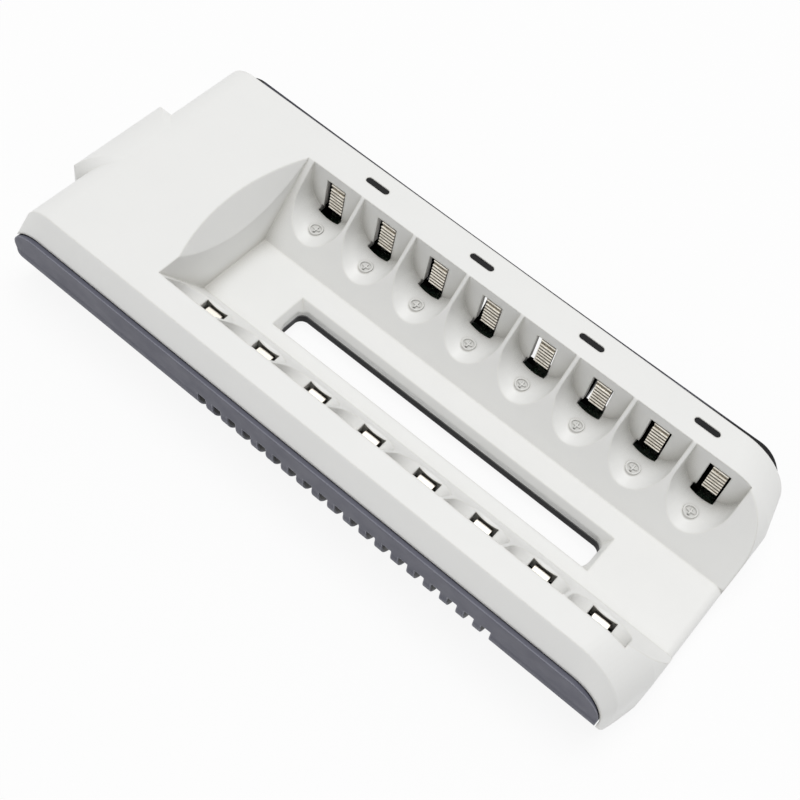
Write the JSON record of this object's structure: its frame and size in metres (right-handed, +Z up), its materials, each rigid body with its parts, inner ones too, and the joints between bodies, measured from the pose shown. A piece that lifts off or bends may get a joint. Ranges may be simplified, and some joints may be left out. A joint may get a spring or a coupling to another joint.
{
  "type": "battery charger",
  "caption": "Flat desktop charger with a row of open bays for AA cells, ribbed positive and springy negative contacts, a vent slot through its floor, indicator windows and a mains inlet.",
  "frame": {"origin": "centre of the underside, on the floor between the feet", "axes": "+X along the row of bays towards the open end, +Y across the bays towards the positive contacts, +Z up"},
  "size_m": [0.1836, 0.0784, 0.0275],
  "materials": {
    "white_plastic": "fine satin moulding",
    "slate_plastic": "satin moulding",
    "board_laminate": "solder mask",
    "dark_plastic": "satin",
    "smoked_plastic": "smooth smoked",
    "nickel": "bright nickel plate",
    "diode_lens": "clear domed",
    "wound_core": "ferrite and enamelled wire",
    "capacitor_sleeve": "sleeved can",
    "chip_resin": "moulded resin",
    "screw_steel": "zinc plate",
    "foot_rubber": "soft"
  },
  "bodies": {
    "charger": {"top_shell": "white_plastic", "base_tray": "slate_plastic", "main_board": "board_laminate", "inlet_block": "dark_plastic", "inlet_pins": "nickel", "plus_contact_1": "nickel", "plus_contact_2": "nickel", "plus_contact_3": "nickel", "plus_contact_4": "nickel", "plus_contact_5": "nickel", "plus_contact_6": "nickel", "plus_contact_7": "nickel", "plus_contact_8": "nickel", "light_pipe_1": "smoked_plastic", "light_pipe_2": "smoked_plastic", "light_pipe_3": "smoked_plastic", "light_pipe_4": "smoked_plastic", "indicator_diodes": "diode_lens", "transformer": "wound_core", "input_capacitor": "capacitor_sleeve", "output_capacitors": "capacitor_sleeve", "control_chip": "chip_resin", "screws": "screw_steel", "feet": "foot_rubber"},
    "leaf_1": {"minus_contact_1": "nickel"},
    "leaf_2": {"minus_contact_2": "nickel"},
    "leaf_3": {"minus_contact_3": "nickel"},
    "leaf_4": {"minus_contact_4": "nickel"},
    "leaf_5": {"minus_contact_5": "nickel"},
    "leaf_6": {"minus_contact_6": "nickel"},
    "leaf_7": {"minus_contact_7": "nickel"},
    "leaf_8": {"minus_contact_8": "nickel"}
  },
  "joints": [
    {"name": "leaf_flex_1", "type": "hinge", "parent": "charger", "child": "leaf_1", "pos_m": [-0.04045, -0.01785, 0.00615], "axis": [1, 0, 0], "range_deg": [0, 8], "stiffness_Nm_per_rad": 0.5},
    {"name": "leaf_flex_2", "type": "hinge", "parent": "charger", "child": "leaf_2", "pos_m": [-0.02395, -0.01785, 0.00615], "axis": [1, 0, 0], "range_deg": [0, 8], "stiffness_Nm_per_rad": 0.5},
    {"name": "leaf_flex_3", "type": "hinge", "parent": "charger", "child": "leaf_3", "pos_m": [-0.00745, -0.01785, 0.00615], "axis": [1, 0, 0], "range_deg": [0, 8], "stiffness_Nm_per_rad": 0.5},
    {"name": "leaf_flex_4", "type": "hinge", "parent": "charger", "child": "leaf_4", "pos_m": [0.00905, -0.01785, 0.00615], "axis": [1, 0, 0], "range_deg": [0, 8], "stiffness_Nm_per_rad": 0.5},
    {"name": "leaf_flex_5", "type": "hinge", "parent": "charger", "child": "leaf_5", "pos_m": [0.02555, -0.01785, 0.00615], "axis": [1, 0, 0], "range_deg": [0, 8], "stiffness_Nm_per_rad": 0.5},
    {"name": "leaf_flex_6", "type": "hinge", "parent": "charger", "child": "leaf_6", "pos_m": [0.04205, -0.01785, 0.00615], "axis": [1, 0, 0], "range_deg": [0, 8], "stiffness_Nm_per_rad": 0.5},
    {"name": "leaf_flex_7", "type": "hinge", "parent": "charger", "child": "leaf_7", "pos_m": [0.05855, -0.01785, 0.00615], "axis": [1, 0, 0], "range_deg": [0, 8], "stiffness_Nm_per_rad": 0.5},
    {"name": "leaf_flex_8", "type": "hinge", "parent": "charger", "child": "leaf_8", "pos_m": [0.07505, -0.01785, 0.00615], "axis": [1, 0, 0], "range_deg": [0, 8], "stiffness_Nm_per_rad": 0.5}
  ]
}
